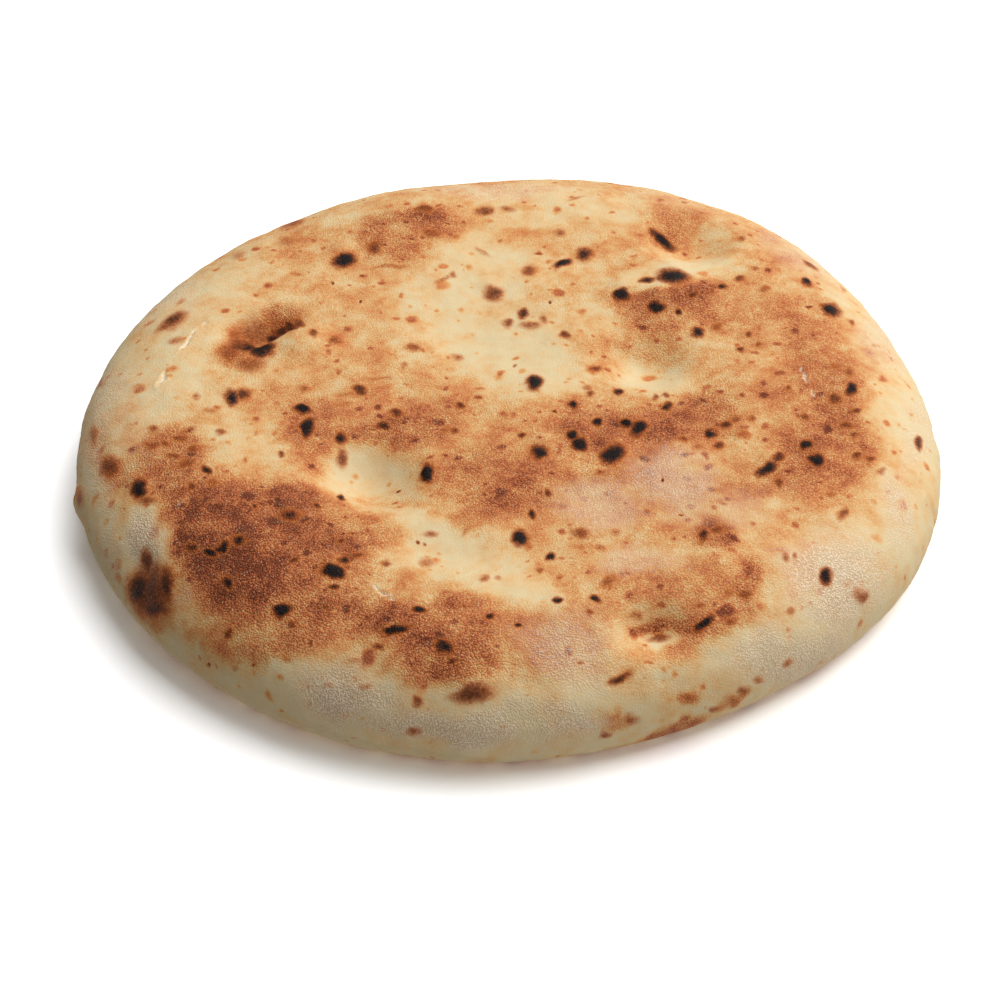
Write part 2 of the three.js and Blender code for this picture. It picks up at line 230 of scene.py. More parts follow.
# Where flour clings, and painted sheen along the rim
FLOURED_AND_PAINTED_SHEEN = marks(
    (146, 528, 19, 34, 0.95), (180, 590, 9, 20, 0.4), (92, 455, 18, 70, 0.5), (108, 540, 18, 40, 0.5),
    (340, 698, 62, 34, 0.9), (450, 728, 92, 22, 0.85), (548, 724, 60, 24, 0.75), (900, 512, 22, 40, 0.6),
    (128, 405, 32, 56, 0.3), (840, 590, 60, 70, 0.8), (800, 660, 60, 30, 0.7), (675, 478, 54, 34, 0.62),
    (590, 500, 54, 28, 0.56), (560, 640, 60, 44, 0.58), (640, 560, 44, 24, 0.48), (745, 500, 40, 20, 0.4),
    # The rows from here to the end are painted sheen along the back rim and the edges, where the crust turns
    # away: lighter and greyer, not flour
    (300, 216, 60, 12, 0.5, 18), (500, 190, 90, 10, 0.5), (690, 203, 70, 12, 0.25, -14),
    (800, 256, 50, 14, 0.5, -40), (880, 335, 20, 50, 0.5, 25), (922, 430, 16, 60, 0.5),
    (160, 302, 44, 20, 0.5, 40), (98, 400, 16, 50, 0.5, -20),
)


@dataclass(frozen=True)
class Tear:
    """A slit in the crust with torn, whitish lips.

    Args:
        route: Pixels of the photograph that it runs through.
        width_mm: Width of the slit.
        depth_mm: Depth of the slit.
    """

    route: tuple[tuple[float, float], ...]
    width_mm: float
    depth_mm: float


TEARS = (
    Tear(((157, 392), (160, 382), (165, 371)), 1.3, 0.5),
    Tear(((172, 361), (181, 350), (190, 339), (199, 327), (212, 313)), 1.1, 0.4),
    Tear(((800, 366), (804, 375), (808, 385)), 1.1, 0.6),
    Tear(((809, 386), (813, 394), (816, 402)), 0.6, 0.4),
    Tear(((366, 582), (379, 590), (390, 597), (399, 601)), 1.3, 0.5),
    Tear(((179, 504), (182, 514), (184, 524)), 0.6, 0.4),
)


def linear_rgb(hex_colour: str) -> tuple[float, float, float, float]:
    """Turns an sRGB hex colour into linear light.

    Args:
        hex_colour: Six hex digits after a hash sign.

    Returns:
        Red, green, blue and an alpha of 1.
    """
    channels = (int(hex_colour[i : i + 2], 16) / 255 for i in (1, 3, 5))
    light = (c / 12.92 if c <= 0.04045 else ((c + 0.055) / 1.055) ** 2.4 for c in channels)
    return (*light, 1.0)


def smooth_step(low: float, high: float, values: np.ndarray) -> np.ndarray:
    """Makes a smooth rise from 0 to 1, or a fall where high is below low.

    Args:
        low: Value at which the rise starts.
        high: Value at which it ends.
        values: Values to be turned into shares of the rise.

    Returns:
        One share for each value.
    """
    share = np.clip((values - low) / (high - low), 0.0, 1.0)
    return share * share * (3.0 - 2.0 * share)


@dataclass(frozen=True)
class Fade:
    """How a mark fades out with the reach from its middle. Its edge is at a reach of 1.

    Args:
        gone: Reach at which nothing of it is left.
        full: Reach within which it has its full strength.
    """

    gone: float
    full: float

    def at(self, reach: np.ndarray) -> np.ndarray:
        """Returns the share of the mark's strength at each reach."""
        return smooth_step(self.gone, self.full, reach)


@dataclass(frozen=True)
class Lumps:
    """Fractal noise over the crust.

    Args:
        size_mm: Size of its largest lumps.
        swing: How far it goes to either side of 0, about.
        seed: Offset that makes this noise unlike the others.
    """

    size_mm: float
    swing: float
    seed: float

    FRACTAL = (1.0, 2.0, 2)  # fall-off of the finer lumps, their fineness, and how many sizes there are

    def at(self, points: np.ndarray) -> np.ndarray:
        """Returns the noise at each point."""
        places = (points / (self.size_mm * MM) + self.seed).tolist()
        return np.array([noise.fractal(place, *self.FRACTAL) for place in places]) * self.swing


@dataclass(frozen=True)
class Drift:
    """A smooth noise that moves points, so that what is measured from them gets an uneven edge.

    Args:
        size_mm: Size of the noise's lumps.
        reach_mm: How far a point moves at most, about.
        seed: Offset that makes this noise unlike the others.
    """

    size_mm: float
    reach_mm: float
    seed: float

    def move(self, points: np.ndarray) -> np.ndarray:
        """Returns the moved points."""
        places = (points / (self.size_mm * MM) + self.seed).tolist()
        return points + np.array([noise.noise_vector(place) for place in places]) * self.reach_mm * MM


def drifted(points: np.ndarray, drifts: tuple[Drift, ...]) -> np.ndarray:
    """Moves points by several drifts, one after the other.

    Args:
        points: Places, in metres.
        drifts: The drifts.

    Returns:
        The moved points.
    """
    for drift in drifts:
        points = drift.move(points)
    return points


@dataclass(frozen=True)
class PhotoCamera:
    """The photograph's camera, fitted to the loaf's outline.

    It looks along +Y and down, with +X to the right.
    """

    elevation_deg: float = 40.0
    distance: float = 0.892  # metres, from the point it aims at
    aim: tuple[float, float, float] = (-0.0024, -0.0275, 0.015)
    frame_px: float = 1000.0
    focal_px: float = 3000.0
    sensor_mm: float = 36.0
    clip: tuple[float, float] = (0.01, 20.0)  # metres

    @property
    def back(self) -> Vector:
        """Direction from the point aimed at to the camera."""
        elevation = math.radians(self.elevation_deg)
        return Vector((0.0, -math.cos(elevation), math.sin(elevation)))

    @property
    def right(self) -> Vector:
        """The picture's direction to the right."""
        return Vector((1.0, 0.0, 0.0))

    @property
    def up(self) -> Vector:
        """The picture's direction upwards."""
        return self.back.cross(self.right)

    @property
    def place(self) -> Vector:
        """Where the camera stands."""
        return Vector(self.aim) + self.back * self.distance

    def build(self) -> bpy.types.Object:
        """Adds the camera and makes it the scene's.

        Returns:
            The camera's object.
        """
        data = bpy.data.cameras.new("photo_camera")
        data.sensor_width = self.sensor_mm
        data.lens = self.sensor_mm * self.focal_px / self.frame_px
        data.clip_start, data.clip_end = self.clip
        camera = bpy.data.objects.new("photo_camera", data)
        camera.location = self.place
        camera.rotation_euler = (math.radians(90.0 - self.elevation_deg), 0.0, 0.0)
        bpy.context.scene.collection.objects.link(camera)
        bpy.context.scene.camera = camera
        return camera

    def ray(self, x: float, y: float) -> Vector:
        """Returns the direction in which the camera looks through a pixel."""
        half = self.frame_px / 2
        return (self.right * (x - half) + self.up * (half - y) - self.back * self.focal_px).normalized()


@dataclass(frozen=True)
class LaidMark:
    """A mark laid on the crust, as an ellipsoid round its middle.

    Args:
        middle: Its middle, in metres.
        to_unit: Matrix that takes the ellipsoid to a ball of radius 1.
        strength: The mark's strength.
        half_size: Mean of its half sizes on the crust, in metres.
    """

    middle: np.ndarray
    to_unit: np.ndarray
    strength: float
    half_size: float

    CHAR = (0.85, 0.4)  # depth of a faint scorch for its strength, and what a full one has more

    @property
    def depth(self) -> float:
        """How deep a scorch is at its middle, which is past 1 for a strong one, so that its char spreads."""
        faint, more = self.CHAR
        return self.strength * (faint + more * self.strength)

    def reach(self, points: np.ndarray) -> np.ndarray:
        """Returns how far the points are from the middle: 0 at the middle and 1 at the mark's edge."""
        return np.linalg.norm((points - self.middle) @ self.to_unit.T, axis=1)


@dataclass(frozen=True)
class LaidTear:
    """A tear laid on the crust, in straight stretches.

    Args:
        route: Corners of its line, in metres.
        width_mm: Its width at the middle.
        depth_mm: Its depth.
    """

    route: np.ndarray
    width_mm: float
    depth_mm: float

    END_WIDTH = 0.3  # width at its ends, as a share of the width at the middle

    def reach(self, points: np.ndarray) -> np.ndarray:
        """Measures how far points are from the tear.

        Args:
            points: Places, in metres.

        Returns:
            One distance for each point, as a share of the tear's width there.
        """
        nearest = np.full(len(points), np.inf)
        stretches = len(self.route) - 1
        for i, (start, end) in enumerate(zip(self.route, self.route[1:])):
            along = end - start
            share = np.clip((points - start) @ along / (along @ along), 0.0, 1.0)
            swell = np.sin(np.pi * (i + share) / stretches)
            width = self.width_mm * MM * (self.END_WIDTH + (1.0 - self.END_WIDTH) * swell)
            aside = np.linalg.norm(points - start - share[:, None] * along, axis=1)
            nearest = np.minimum(nearest, aside / width)
        return nearest


@dataclass(frozen=True)
class LaidMarks:
    """All the marks and tears, laid on the crust. Among the scorches, browned, toasted and pale marks are a
    few of painted shade and painted light, and among the floured ones painted sheen.
    """

    scorches: list[LaidMark]
    burns: list[LaidMark]
    specks: list[LaidMark]
    browned: list[LaidMark]
    toasted: list[LaidMark]
    pale: list[LaidMark]
    floured_and_painted_sheen: list[LaidMark]
    tears: list[LaidTear]


def read_mesh(mesh: bpy.types.Mesh) -> tuple[np.ndarray, np.ndarray]:
    """Reads a mesh's points and normals.

    Args:
        mesh: The mesh.

    Returns:
        Two arrays with a row for each vertex.
    """
    points = np.empty(len(mesh.vertices) * 3, np.float32)
    normals = np.empty(len(mesh.vertices) * 3, np.float32)
    mesh.vertices.foreach_get("co", points)
    mesh.vertices.foreach_get("normal", normals)
    return points.reshape(-1, 3).astype(float), normals.reshape(-1, 3).astype(float)


class CrustSurface:
    """The smooth crust as arrays, on which marks and tears are laid before the fine relief is worked in."""

    STEEPEST = 0.3  # least share of the crust's facing that is towards the camera when a mark is laid
    PATCH = 6 * MM  # radius over which the crust's facing is averaged

    def __init__(self, crust: bpy.types.Object, camera: PhotoCamera) -> None:
        """Reads the crust's mesh.

        Args:
            crust: The subdivided loaf.
            camera: The photograph's camera.
        """
        self.crust = crust
        self.camera = camera
        self.points, self.normals = read_mesh(crust.data)

    def hit(self, x: float, y: float) -> np.ndarray | None:
        """Returns the point of the crust that a pixel shows, or None."""
        found, point, _, _ = self.crust.ray_cast(self.camera.place, self.camera.ray(x, y))
        return np.array(point) if found else None

    def facing(self, point: np.ndarray) -> Vector:
        """Returns the way that the crust faces round a point."""
        near = np.linalg.norm(self.points - point, axis=1) < self.PATCH
        return Vector(self.normals[near].mean(axis=0)).normalized()

    def lay(self, mark: Mark) -> LaidMark | None:
        """Lays a mark on the crust where the photograph shows it.

        Args:
            mark: The ellipse in the photograph.

        Returns:
            The laid mark, or None if its middle misses the loaf.
        """
        middle = self.hit(mark.x, mark.y)
        if middle is None:
            LOG.warning("mark at %g, %g misses the loaf", mark.x, mark.y)
            return None
        normal = self.facing(middle)
        towards = (self.camera.place - Vector(middle)).normalized()
        metres_per_px = (self.camera.place - Vector(middle)).dot(self.camera.back) / self.camera.focal_px
        slope = max(towards.dot(normal), self.STEEPEST)
        turn = math.radians(mark.turn)
        axes = []
        for angle, half_px in ((turn, mark.wide), (turn + math.pi / 2, mark.tall)):
            seen = self.camera.right * math.cos(angle) + self.camera.up * math.sin(angle)
            axes.append((seen - towards * (seen.dot(normal) / slope)) * half_px * metres_per_px)
        half_size = (axes[0].length + axes[1].length) / 2
        columns = np.array([axes[0], axes[1], normal * half_size]).T
        return LaidMark(middle, np.linalg.inv(columns), mark.strength, half_size)

    def lay_group(self, group: tuple[Mark, ...]) -> list[LaidMark]:
        """Returns the laid marks of a group."""
        laid = (self.lay(mark) for mark in group)
        return [mark for mark in laid if mark]

    def lay_tear(self, tear: Tear) -> LaidTear:
        """Lays a tear on the crust where the photograph shows it.

        Args:
            tear: The tear in the photograph.

        Returns:
            The laid tear.
        """
        points = (self.hit(x, y) for x, y in tear.route)
        route = np.array([point for point in points if point is not None])
        return LaidTear(route, tear.width_mm, tear.depth_mm)

    def lay_all(self) -> LaidMarks:
        """Lays all that was seen in the photograph.

        Returns:
            The laid marks and tears.
        """
        return LaidMarks(
            scorches=self.lay_group(SCORCHES_AND_PAINTED_SHADE),
            burns=self.lay_group(BURNS),
            specks=self.lay_group(SPECKS),
            browned=self.lay_group(BROWNED_AND_PAINTED_SHADE),
            toasted=self.lay_group(TOASTED_AND_PAINTED_SHADE),
            pale=self.lay_group(PALE_AND_PAINTED_LIGHT),
            floured_and_painted_sheen=self.lay_group(FLOURED_AND_PAINTED_SHEEN),
            tears=[self.lay_tear(tear) for tear in TEARS],
        )


def add_node(
    tree: Tree,
    kind: str,
    inputs: dict[str | int, object] | None = None,
    stops: tuple[tuple[float, tuple[float, ...]], ...] = (),
    **settings: object,
) -> bpy.types.Node:
    """Adds a shader node.

    Args:
        tree: The node tree.
        kind: The node's type name, without ShaderNode before it.
        inputs: Values or output sockets for its inputs, by name or number.
        stops: Positions and colours of a colour ramp.
        settings: Values of the node's own properties.

    Returns:
        The node.
    """
    made = tree.nodes.new("ShaderNode" + kind)
    for name, value in settings.items():
        setattr(made, name, value)
    for key, value in (inputs or {}).items():
        if isinstance(value, Socket):
            tree.links.new(value, made.inputs[key])
        else:
            made.inputs[key].default_value = value
    for i, (position, colour) in enumerate(stops):
        points = made.color_ramp.elements
        point = points[i] if i < 2 else points.new(position)
        point.position, point.color = position, colour
    return made


# Sockets of a colour mix, which has others of the same names
MIX_SHARE, MIX_UNDER, MIX_OVER, MIX_RESULT = 0, 6, 7, 2


def per_metre(size_mm: float) -> float:
    """Returns the texture scale that gives a pattern of this size on Object coordinates."""
    return 1.0 / (size_mm * MM)


@dataclass(frozen=True)
class Cloud:
    """A noise texture on Object coordinates.

    Args:
        size_mm: Size of its lumps.
        detail: How many finer sizes it has.
        roughness: How strong the finer sizes are.
    """

    size_mm: float
    detail: float
    roughness: float = 0.5

    def inputs(self, coords: Socket) -> dict[str, object]:
        """Returns the inputs of its noise node."""
        scale = per_metre(self.size_mm)
        return {"Vector": coords, "Scale": scale, "Detail": self.detail, "Roughness": self.roughness}


@dataclass(frozen=True)
class CrustFinish:
    """Baked bread crust, dusted with flour.

    It is dull and grainy: cream where the dough stayed pale, orange-brown where it toasted, black where it
    scorched, and greyish where flour clings. The char is a little less dull than the rest. The same colours
    also give the painted light, shade and sheen that the stains carry.
    """

    # Dough, by how far it is baked
    bake: tuple[tuple[float, str], ...] = (
        (0.0, "#d6c095"), (0.2, "#d8b481"), (0.38, "#d29b61"), (0.55, "#c77e4c"), (0.72, "#b4653d"),
        (0.86, "#9a5231"), (1.0, "#753c26"),
    )
    mottles: tuple[tuple[Cloud, float], ...] = (  # with their swings
        (Cloud(24.0, 2.0, 0.55), 0.3),
        (Cloud(9.0, 2.0, 0.55), 0.44),
        (Cloud(3.5, 2.0, 0.55), 0.26),
        (Cloud(1.5, 2.0, 0.55), 0.12),
    )
    pale_swing: float = 0.75  # share of the mottles' swing on dough that isn't toasted
    freckles: tuple[tuple[float, float], ...] = (  # spacing in mm, and strength
        (9.0, 0.46), (6.0, 0.44), (4.0, 0.36),
    )
    freckle_radii: tuple[float, float] = (-0.17, 0.33)  # least and greatest, in spacings
    freckle_edge: float = 0.16  # in spacings
    warp: Cloud = Cloud(6.0, 2.0)  # what makes the freckles uneven
    warp_mm: float = 4.0  # how far it moves them

    # Grit of the crust
    sand: Cloud = Cloud(0.5, 0.0)  # roughness between the grains
    sand_range: tuple[float, float] = (0.3, 0.7)  # noise at which the sand is 0, and 1
    sand_shift: tuple[float, float] = (-0.145, 0.215)  # what sand of 0 and of 1 adds to the baking
    grain_mm: float = 0.75  # spacing of the grains of semolina, coarser than real ones to show in the picture
    grain_radii: tuple[float, float] = (0.04, 0.38)  # least and greatest, in spacings
    grain_edge: float = 0.1  # in spacings
    grain_shift: float = -0.1  # what a grain adds to the baking
    grain_tone: str = "#ecd2a8"
    grain_cover: float = 0.36  # how much of a grain's own tone shows on toasted crust
    grain_height: float = 0.8  # for a height of 1 of the sand
    grit_range: tuple[float, float] = (0.05, 0.6)  # toast at which the grit starts to show, and shows fully
    bump_mm: float = 0.85
    bump_range: tuple[float, float] = (0.06, 0.85)  # strength on smooth pale dough, and on the coarsest crust
    flour_felt: float = 0.5  # coarseness of full flour

    # Flour, whose tones also give the painted sheen along the rim
    flour: tuple[str, str] = ("#bb9e82", "#e8d3b8")  # between its grains, and on them
    flour_patches: Cloud = Cloud(12.0, 3.0)
    flour_range: tuple[float, float] = (0.1, 0.45)  # noise at which flour starts, and is thickest
    flour_thickest: float = 0.85
    flour_heap: float = 1.2  # how fast thicker flour covers the crust
    flour_sift: float = 0.4  # how much later it covers the hollows of the sand
    flour_full: float = 0.95  # heap that hides the crust

    # Torn crumb
    crumb: str = "#e9dec6"
    crumb_least: float = 0.15  # how much of it shows in the hollows of the sand

    # Scorch, as its depth, colour and cover
    scorch: tuple[tuple[float, str, float], ...] = (
        (0.05, "#c47a3c", 0.0), (0.3, "#b5642f", 0.65), (0.5, "#93491f", 0.9), (0.68, "#6f371a", 0.97),
        (0.84, "#4a2716", 1.0), (0.95, "#2c1a14", 1.0), (1.0, "#1b1413", 1.0),
    )
    char: Cloud = Cloud(1.0, 3.0, 0.65)  # what makes a scorch ragged
    char_shift: tuple[float, float] = (-0.27, 0.33)  # what its lowest and highest values add to the depth
    char_grain: float = -0.16  # what a grain adds to the depth
    char_start: float = 0.4  # scorch from which it is fully ragged

    # Underside, blotched by the oven floor
    underside: tuple[tuple[float, str], ...] = (
        (0.3, "#d2bc92"), (0.45, "#bf9868"), (0.58, "#9c623c"), (0.7, "#643b27"), (0.82, "#342019"),
    )
    blotches: Cloud = Cloud(9.0, 6.0, 0.65)

    # Gloss
    roughness: float = 0.7
    scorch_roughness: float = 0.55
    ior: float = 1.42
    specular_level: float = 0.12

    def build(self) -> bpy.types.Material:
        """Makes the material.

        Returns:
            The material.
        """
        material = bpy.data.materials.new("baked_bread_crust")
        material.use_nodes = True
        tree = material.node_tree
        tree.nodes.clear()
        coords = add_node(tree, "TexCoord").outputs["Object"]
        stains = {s: add_node(tree, "Attribute", attribute_name=s.value).outputs["Fac"] for s in Stain}
        sand, grain = self.grit(tree, coords)
        colour = self.baked(tree, coords, stains[Stain.TOAST_AND_PAINTED_LIGHT_AND_SHADE], sand, grain)
        colour = self.bottom(tree, coords, stains[Stain.UNDERSIDE], colour)
        colour = self.floured_and_painted_sheen(tree, coords, stains[Stain.FLOUR_AND_PAINTED_SHEEN], sand, colour)
        colour = self.torn(tree, stains[Stain.CRUMB], sand, colour)
        colour, char = self.scorched(tree, coords, stains[Stain.SCORCH_AND_PAINTED_SHADE], grain, colour)
        rough = add_node(
            tree, "MapRange", {"Value": char, "To Min": self.roughness, "To Max": self.scorch_roughness}
        )
        shader = add_node(
            tree,
            "BsdfPrincipled",
            {
                "Base Color": colour,
                "Roughness": rough.outputs["Result"],
                "IOR": self.ior,
                "Specular IOR Level": self.specular_level,
                "Normal": self.bumped(tree, stains, sand, grain),
            },
        )
        add_node(tree, "OutputMaterial", {"Surface": shader.outputs["BSDF"]})
        return material

    def spots(
        self,
        tree: Tree,
        coords: Socket,
        spacing_mm: float,
        radii: tuple[float, float],
        edge: float,
        strength: float = 1.0,
    ) -> Socket:
        """Scatters round spots of different sizes.

        Args:
            tree: The node tree.
            coords: Where the pattern is read.
            spacing_mm: Mean spacing of the spots.
            radii: Least and greatest radius, in spacings. A spot with a radius below 0 doesn't show.
            edge: Width of a spot's soft edge, in spacings.
            strength: Value on a spot.

        Returns:
            The strength on a spot, and 0 between the spots.
        """
        cells = add_node(tree, "TexVoronoi", {"Vector": coords, "Scale": per_metre(spacing_mm)})
        size = add_node(tree, "SeparateColor", {0: cells.outputs["Color"]}).outputs["Red"]
        least, greatest = radii
        radius = add_node(tree, "Math", {0: size, 1: greatest - least, 2: least}, operation="MULTIPLY_ADD")
        inside = add_node(
            tree, "Math", {0: radius.outputs[0], 1: cells.outputs["Distance"]}, operation="SUBTRACT"
        )
        return add_node(
            tree, "MapRange", {"Value": inside.outputs[0], "From Max": edge, "To Max": strength}
        ).outputs["Result"]

    def grit(self, tree: Tree, coords: Socket) -> tuple[Socket, Socket]:
        """Makes the fine roughness of the crust and the grains on it.

        Args:
            tree: The node tree.
            coords: Object coordinates.

        Returns:
            The sand, from 0 in its hollows to 1, and the grains, 1 on a grain.
        """
        rough = add_node(tree, "TexNoise", self.sand.inputs(coords)).outputs["Fac"]
        low, high = self.sand_range
        sand = add_node(tree, "MapRange", {"Value": rough, "From Min": low, "From Max": high})
        grain = self.spots(tree, coords, self.grain_mm, self.grain_radii, self.grain_edge)
        return sand.outputs["Result"], grain

    def level(self, tree: Tree, coords: Socket, toast: Socket) -> Socket:
        """Makes how far the dough is baked, with mottles and freckles.

        Args:
            tree: The node tree.
            coords: Object coordinates.
            toast: The toast stain, which also holds painted light and shade.

        Returns:
            The level of baking, 0 for pale dough.
        """
        swing = add_node(tree, "MapRange", {"Value": toast, "To Min": self.pale_swing}).outputs["Result"]
        level = toast
        for mottle, amount in self.mottles:
            lumps = add_node(tree, "TexNoise", mottle.inputs(coords)).outputs["Fac"]
            centred = add_node(tree, "Math", {0: lumps, 1: 2 * amount, 2: -amount}, operation="MULTIPLY_ADD")
            level = add_node(
                tree, "Math", {0: centred.outputs[0], 1: swing, 2: level}, operation="MULTIPLY_ADD"
            ).outputs[0]
        warp = add_node(tree, "TexNoise", self.warp.inputs(coords)).outputs["Color"]
        reach = (self.warp_mm * MM,) * 3
        bent = add_node(tree, "VectorMath", {0: warp, 1: reach, 2: coords}, operation="MULTIPLY_ADD")
        for spacing_mm, strength in self.freckles:
            spot = self.spots(
                tree, bent.outputs["Vector"], spacing_mm, self.freckle_radii, self.freckle_edge, strength
            )
            level = add_node(tree, "Math", {0: spot, 1: level}, operation="ADD").outputs[0]
        return level

    def baked(self, tree: Tree, coords: Socket, toast: Socket, sand: Socket, grain: Socket) -> Socket:
        """Makes the colour of the baked dough and of the grains on it.

        Args:
            tree: The node tree.
            coords: Object coordinates.
            toast: The toast stain, which also holds painted light and shade.
            sand: The crust's sand.
            grain: The crust's grains.

        Returns:
            The colour.
        """
        start, full = self.grit_range
        shown = add_node(
            tree, "MapRange", {"Value": toast, "From Min": start, "From Max": full}
        ).outputs["Result"]
        low, high = self.sand_shift
        sandy = add_node(tree, "Math", {0: sand, 1: high - low, 2: low}, operation="MULTIPLY_ADD")
        grainy = add_node(
            tree, "Math", {0: grain, 1: self.grain_shift, 2: sandy.outputs[0]}, operation="MULTIPLY_ADD"
        )
        level = add_node(
            tree,
            "Math",
            {0: grainy.outputs[0], 1: shown, 2: self.level(tree, coords, toast)},
            operation="MULTIPLY_ADD",
        )
        stops = tuple((position, linear_rgb(value)) for position, value in self.bake)
        dough = add_node(tree, "ValToRGB", {"Fac": level.outputs[0]}, stops).outputs["Color"]
        dusted = add_node(tree, "Math", {0: grain, 1: shown}, operation="MULTIPLY").outputs[0]
        cover = add_node(tree, "Math", {0: dusted, 1: self.grain_cover}, operation="MULTIPLY").outputs[0]
        return add_node(
            tree,
            "Mix",
            {MIX_SHARE: cover, MIX_UNDER: dough, MIX_OVER: linear_rgb(self.grain_tone)},
            data_type="RGBA",
        ).outputs[MIX_RESULT]

    def bottom(self, tree: Tree, coords: Socket, underside: Socket, colour: Socket) -> Socket:
        """Puts the blotches of the stone-baked underside over the colour.

        Args:
            tree: The node tree.
            coords: Object coordinates.
            underside: The underside stain.
            colour: The colour so far.

        Returns:
            The new colour.
        """
        blotch = add_node(tree, "TexNoise", self.blotches.inputs(coords)).outputs["Fac"]
        stops = tuple((position, linear_rgb(value)) for position, value in self.underside)
        baked = add_node(tree, "ValToRGB", {"Fac": blotch}, stops).outputs["Color"]
        return add_node(
            tree, "Mix", {MIX_SHARE: underside, MIX_UNDER: colour, MIX_OVER: baked}, data_type="RGBA"
        ).outputs[MIX_RESULT]

    def floured_and_painted_sheen(self, tree: Tree, coords: Socket, flour: Socket, sand: Socket, colour: Socket) -> Socket:
        """Puts patches of flour over the colour, and with them the painted sheen along the rim.

        Args:
            tree: The node tree.
            coords: Object coordinates.
            flour: The flour stain, which also holds the painted sheen.
            sand: The crust's sand.
            colour: The colour so far.

        Returns:
            The new colour.
        """
        patchy = add_node(tree, "TexNoise", self.flour_patches.inputs(coords)).outputs["Fac"]
        low, high = self.flour_range
        patches = add_node(
            tree,
            "MapRange",
            {"Value": patchy, "From Min": low, "From Max": high, "To Max": self.flour_thickest},
        ).outputs["Result"]
        thick = add_node(tree, "Math", {0: flour, 1: patches}, operation="MULTIPLY").outputs[0]
        heap = add_node(
            tree, "Math", {0: thick, 1: self.flour_heap, 2: -self.flour_sift}, operation="MULTIPLY_ADD"
        ).outputs[0]
        sifted = add_node(tree, "Math", {0: sand, 1: self.flour_sift, 2: heap}, operation="MULTIPLY_ADD")
        cover = add_node(tree, "MapRange", {"Value": sifted.outputs[0], "From Max": self.flour_full})
        shade, light = (linear_rgb(tone) for tone in self.flour)
        grainy = add_node(
            tree, "Mix", {MIX_SHARE: sand, MIX_UNDER: shade, MIX_OVER: light}, data_type="RGBA"
        ).outputs[MIX_RESULT]
        return add_node(
            tree,
            "Mix",
            {MIX_SHARE: cover.outputs["Result"], MIX_UNDER: colour, MIX_OVER: grainy},
            data_type="RGBA",
        ).outputs[MIX_RESULT]

    def torn(self, tree: Tree, crumb: Socket, sand: Socket, colour: Socket) -> Socket:
        """Puts the torn crumb over the colour.

        Args:
            tree: The node tree.
            crumb: The crumb stain.
            sand: The crust's sand.
            colour: The colour so far.

        Returns:
            The new colour.
        """
        broken = add_node(tree, "MapRange", {"Value": sand, "To Min": self.crumb_least}).outputs["Result"]
        cover = add_node(tree, "Math", {0: broken, 1: crumb}, operation="MULTIPLY").outputs[0]
        return add_node(
            tree,
            "Mix",
            {MIX_SHARE: cover, MIX_UNDER: colour, MIX_OVER: linear_rgb(self.crumb)},
            data_type="RGBA",
        ).outputs[MIX_RESULT]

    def scorched(
        self, tree: Tree, coords: Socket, scorch: Socket, grain: Socket, colour: Socket
    ) -> tuple[Socket, Socket]:
        """Puts the scorch over the colour.

        Args:
            tree: The node tree.
            coords: Object coordinates.
            scorch: The scorch stain, which also holds one painted shadow.
            grain: The crust's grains.
            colour: The colour so far.

        Returns:
            The new colour, and how deep the scorch is.
        """
        ragged = add_node(tree, "TexNoise", self.char.inputs(coords)).outputs["Fac"]
        low, high = self.char_shift
        centred = add_node(tree, "Math", {0: ragged, 1: high - low, 2: low}, operation="MULTIPLY_ADD")
        dusted = add_node(
            tree, "Math", {0: grain, 1: self.char_grain, 2: centred.outputs[0]}, operation="MULTIPLY_ADD"
        )
        swing = add_node(tree, "MapRange", {"Value": scorch, "From Max": self.char_start}).outputs["Result"]
        char = add_node(
            tree, "Math", {0: dusted.outputs[0], 1: swing, 2: scorch}, operation="MULTIPLY_ADD"
        ).outputs[0]
        stops = tuple((position, (*linear_rgb(value)[:3], cover)) for position, value, cover in self.scorch)
        burnt = add_node(tree, "ValToRGB", {"Fac": char}, stops).outputs
        mixed = add_node(
            tree,
            "Mix",
            {MIX_SHARE: burnt["Alpha"], MIX_UNDER: colour, MIX_OVER: burnt["Color"]},
            data_type="RGBA",
        )
        return mixed.outputs[MIX_RESULT], char

    def bumped(self, tree: Tree, stains: dict[Stain, Socket], sand: Socket, grain: Socket) -> Socket:
        """Makes the relief of the grit, strongest where the crust is toasted or floury.

        Args:
            tree: The node tree.
            stains: The stains.
            sand: The crust's sand.
            grain: The crust's grains.

        Returns:
            The normal.
        """
        felted = add_node(
            tree, "Math", {0: stains[Stain.FLOUR_AND_PAINTED_SHEEN], 1: self.flour_felt}, operation="MULTIPLY"
        ).outputs[0]
        coarse = add_node(tree, "Math", {0: stains[Stain.TOAST_AND_PAINTED_LIGHT_AND_SHADE], 1: felted}, operation="MAXIMUM").outputs[0]
        least, most = self.bump_range
        strength = add_node(tree, "MapRange", {"Value": coarse, "To Min": least, "To Max": most})
        height = add_node(tree, "Math", {0: grain, 1: self.grain_height, 2: sand}, operation="MULTIPLY_ADD")
        return add_node(
            tree,
            "Bump",
            {
                "Strength": strength.outputs["Result"],
                "Distance": self.bump_mm * MM,
                "Height": height.outputs[0],
            },
        ).outputs["Normal"]


